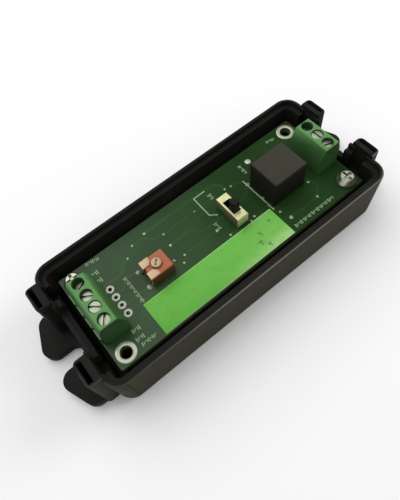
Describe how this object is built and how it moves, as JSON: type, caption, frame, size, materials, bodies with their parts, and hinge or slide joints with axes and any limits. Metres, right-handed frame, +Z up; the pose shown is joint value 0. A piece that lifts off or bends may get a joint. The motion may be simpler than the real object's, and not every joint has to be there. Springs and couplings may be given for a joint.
{
  "type": "camera video balun",
  "caption": "Open black case with slotted flanges and latch loops, holding a green board with screw terminals at both ends, a transformer, a slide switch and a trimmer.",
  "frame": {"origin": "middle of the flat underside of the case", "axes": "+X along the case towards the three-way terminal, +Y across it, +Z up out of the open case"},
  "size_m": [0.1008, 0.036, 0.02],
  "materials": {
    "case_black": "satin moulded",
    "board_green": "glossy solder mask over laminate",
    "tin_plating": "bright tin",
    "patch_lime": "satin film",
    "screw_steel": "bright plated",
    "terminal_green": "satin moulded",
    "clamp_brass": "plated",
    "leaf_steel": "plated",
    "terminal_steel": "plated",
    "transformer_black": "matte moulded",
    "pin_tin": "tinned",
    "shell_steel": "bright pressed",
    "switch_black": "matte moulded",
    "lever_black": "matte moulded",
    "trimmer_orange": "satin moulded",
    "rotor_metal": "satin",
    "contact_metal": "plated"
  },
  "bodies": {
    "unit": {"board_patch": "patch_lime", "board_screw_far": "screw_steel", "board_screw_near": "screw_steel", "case_base": "case_black", "case_flange_far": "case_black", "case_flange_near": "case_black", "case_loop_far_1": "case_black", "case_loop_far_2": "case_black", "case_loop_near_1": "case_black", "case_loop_near_2": "case_black", "case_post_far": "case_black", "case_post_near": "case_black", "circuit_board": "board_green", "clamp_frame_far_1": "clamp_brass", "clamp_frame_far_2": "clamp_brass", "clamp_frame_far_3": "clamp_brass", "clamp_frame_near_1": "clamp_brass", "clamp_frame_near_2": "clamp_brass", "clamp_frame_near_3": "clamp_brass", "clamp_frame_near_4": "clamp_brass", "fixing_hole_plating": "tin_plating", "header_plating": "tin_plating", "switch_base": "switch_black", "switch_pins": "pin_tin", "switch_shell": "shell_steel", "terminal_housing_far": "terminal_green", "terminal_housing_near": "terminal_green", "transformer_body": "transformer_black", "transformer_pins": "pin_tin", "trimmer_base": "trimmer_orange", "trimmer_contact_high": "contact_metal", "trimmer_contact_low": "contact_metal", "trimmer_contact_wiper": "contact_metal"},
    "leaf_near_1": {"pressure_leaf_near_1": "leaf_steel"},
    "screw_near_1": {"terminal_screw_near_1": "terminal_steel"},
    "leaf_near_2": {"pressure_leaf_near_2": "leaf_steel"},
    "screw_near_2": {"terminal_screw_near_2": "terminal_steel"},
    "leaf_near_3": {"pressure_leaf_near_3": "leaf_steel"},
    "screw_near_3": {"terminal_screw_near_3": "terminal_steel"},
    "leaf_near_4": {"pressure_leaf_near_4": "leaf_steel"},
    "screw_near_4": {"terminal_screw_near_4": "terminal_steel"},
    "leaf_far_1": {"pressure_leaf_far_1": "leaf_steel"},
    "screw_far_1": {"terminal_screw_far_1": "terminal_steel"},
    "leaf_far_2": {"pressure_leaf_far_2": "leaf_steel"},
    "screw_far_2": {"terminal_screw_far_2": "terminal_steel"},
    "leaf_far_3": {"pressure_leaf_far_3": "leaf_steel"},
    "screw_far_3": {"terminal_screw_far_3": "terminal_steel"},
    "switch_slider": {"switch_lever": "lever_black"},
    "trimmer_turn": {"trimmer_rotor": "rotor_metal"}
  },
  "joints": [
    {"name": "leaf_slide_near_1", "type": "slide", "parent": "unit", "child": "leaf_near_1", "axis": [0, 0, 1], "range_m": [-0.0004, 0.00189]},
    {"name": "screw_turn_near_1", "type": "hinge", "parent": "leaf_near_1", "child": "screw_near_1", "pos_m": [-0.0337, 0.00525, 0.0185], "axis": [0, 0, 1], "range_deg": [-357, 1707]},
    {"name": "leaf_slide_near_2", "type": "slide", "parent": "unit", "child": "leaf_near_2", "axis": [0, 0, 1], "range_m": [-0.0015, 0.0008]},
    {"name": "screw_turn_near_2", "type": "hinge", "parent": "leaf_near_2", "child": "screw_near_2", "pos_m": [-0.0337, 0.00175, 0.0185], "axis": [0, 0, 1], "range_deg": [-1347, 717]},
    {"name": "leaf_slide_near_3", "type": "slide", "parent": "unit", "child": "leaf_near_3", "axis": [0, 0, 1], "range_m": [-0.00219, 0.0001]},
    {"name": "screw_turn_near_3", "type": "hinge", "parent": "leaf_near_3", "child": "screw_near_3", "pos_m": [-0.0337, -0.00175, 0.0185], "axis": [0, 0, 1], "range_deg": [-1977, 87]},
    {"name": "leaf_slide_near_4", "type": "slide", "parent": "unit", "child": "leaf_near_4", "axis": [0, 0, 1], "range_m": [-0.00179, 0.00049]},
    {"name": "screw_turn_near_4", "type": "hinge", "parent": "leaf_near_4", "child": "screw_near_4", "pos_m": [-0.0337, -0.00525, 0.0185], "axis": [0, 0, 1], "range_deg": [-1617, 447]},
    {"name": "leaf_slide_far_1", "type": "slide", "parent": "unit", "child": "leaf_far_1", "axis": [0, 0, 1], "range_m": [-0.00049, 0.00179]},
    {"name": "screw_turn_far_1", "type": "hinge", "parent": "leaf_far_1", "child": "screw_far_1", "pos_m": [0.0337, 0.0035, 0.0185], "axis": [0, 0, 1], "range_deg": [-447, 1617]},
    {"name": "leaf_slide_far_2", "type": "slide", "parent": "unit", "child": "leaf_far_2", "axis": [0, 0, 1], "range_m": [-0.00215, 0.00015]},
    {"name": "screw_turn_far_2", "type": "hinge", "parent": "leaf_far_2", "child": "screw_far_2", "pos_m": [0.0337, 0, 0.0185], "axis": [0, 0, 1], "range_deg": [-1932, 132]},
    {"name": "leaf_slide_far_3", "type": "slide", "parent": "unit", "child": "leaf_far_3", "axis": [0, 0, 1], "range_m": [-0.0016, 0.00069]},
    {"name": "screw_turn_far_3", "type": "hinge", "parent": "leaf_far_3", "child": "screw_far_3", "pos_m": [0.0337, -0.0035, 0.0185], "axis": [0, 0, 1], "range_deg": [-1437, 627]},
    {"name": "switch_slide", "type": "slide", "parent": "unit", "child": "switch_slider", "axis": [0, 1, 0], "range_m": [0, 0.0019]},
    {"name": "trimmer_turn", "type": "hinge", "parent": "unit", "child": "trimmer_turn", "pos_m": [-0.01693, 0.0003, 0.0145], "axis": [0, 0, 1], "range_deg": [-130, 130]}
  ],
  "couplings": [
    {"joint": "screw_turn_near_1", "follows": "leaf_slide_near_1", "rad_per_m": 15708},
    {"joint": "screw_turn_near_2", "follows": "leaf_slide_near_2", "rad_per_m": 15708},
    {"joint": "screw_turn_near_3", "follows": "leaf_slide_near_3", "rad_per_m": 15708},
    {"joint": "screw_turn_near_4", "follows": "leaf_slide_near_4", "rad_per_m": 15708},
    {"joint": "screw_turn_far_1", "follows": "leaf_slide_far_1", "rad_per_m": 15708},
    {"joint": "screw_turn_far_2", "follows": "leaf_slide_far_2", "rad_per_m": 15708},
    {"joint": "screw_turn_far_3", "follows": "leaf_slide_far_3", "rad_per_m": 15708}
  ]
}
